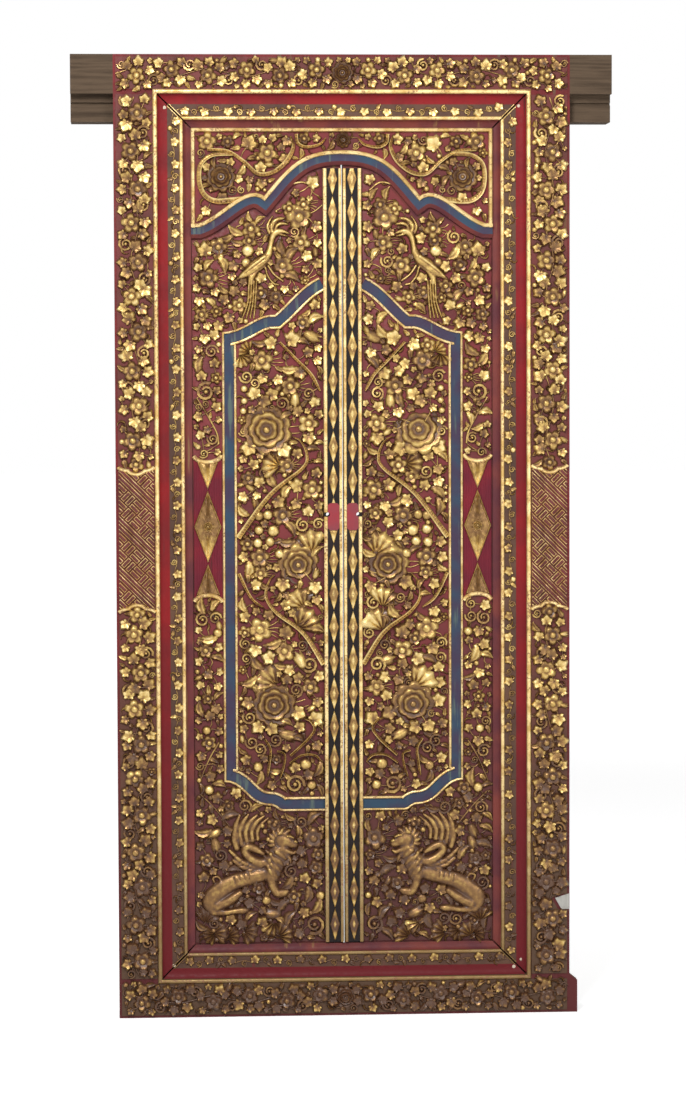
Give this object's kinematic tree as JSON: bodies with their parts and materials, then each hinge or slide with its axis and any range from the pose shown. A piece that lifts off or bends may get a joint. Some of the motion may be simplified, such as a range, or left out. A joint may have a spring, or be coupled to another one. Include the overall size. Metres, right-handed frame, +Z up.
{
  "type": "carved temple door",
  "caption": "Carved and gilded double-leaf door in its pegged timber frame, with an arched spandrel and leaves that swing inwards on pivot pins.",
  "frame": {"origin": "middle of the sill's underside", "axes": "+Z up, the carved front looks to -Y, +X to the right as seen from the front"},
  "size_m": [1.29, 0.123, 2.304],
  "materials": {
    "gilded_frame": "carved timber, gilded over a dark crimson ground, worn",
    "gilded_panel": "carved panel, gilded over a dark crimson ground, worn",
    "painted_moulding": "red paint with gilded beads and buds",
    "black_strip": "black lacquer with gilded diamonds and fillets",
    "raw_timber": "bare weathered timber",
    "nail_filler": "pale filler over the nail heads"
  },
  "bodies": {
    "frame": {"lintel": "gilded_frame", "sill": "gilded_frame", "left_jamb": "gilded_frame", "right_jamb": "gilded_frame", "head_moulding": "painted_moulding", "sill_moulding": "painted_moulding", "left_moulding": "painted_moulding", "right_moulding": "painted_moulding", "spandrel": "gilded_panel", "moulding_nails": "nail_filler", "frame_pegs": "raw_timber"},
    "left_door": {"left_leaf": "gilded_panel", "left_meeting_strip": "black_strip"},
    "right_door": {"right_leaf": "gilded_panel", "right_meeting_strip": "black_strip"}
  },
  "joints": [
    {"name": "left_swing", "type": "hinge", "parent": "frame", "child": "left_door", "pos_m": [-0.362, -0.003, 1.147], "axis": [0, 0, 1], "range_deg": [0, 90]},
    {"name": "right_swing", "type": "hinge", "parent": "frame", "child": "right_door", "pos_m": [0.362, -0.003, 1.147], "axis": [0, 0, -1], "range_deg": [0, 90]}
  ]
}
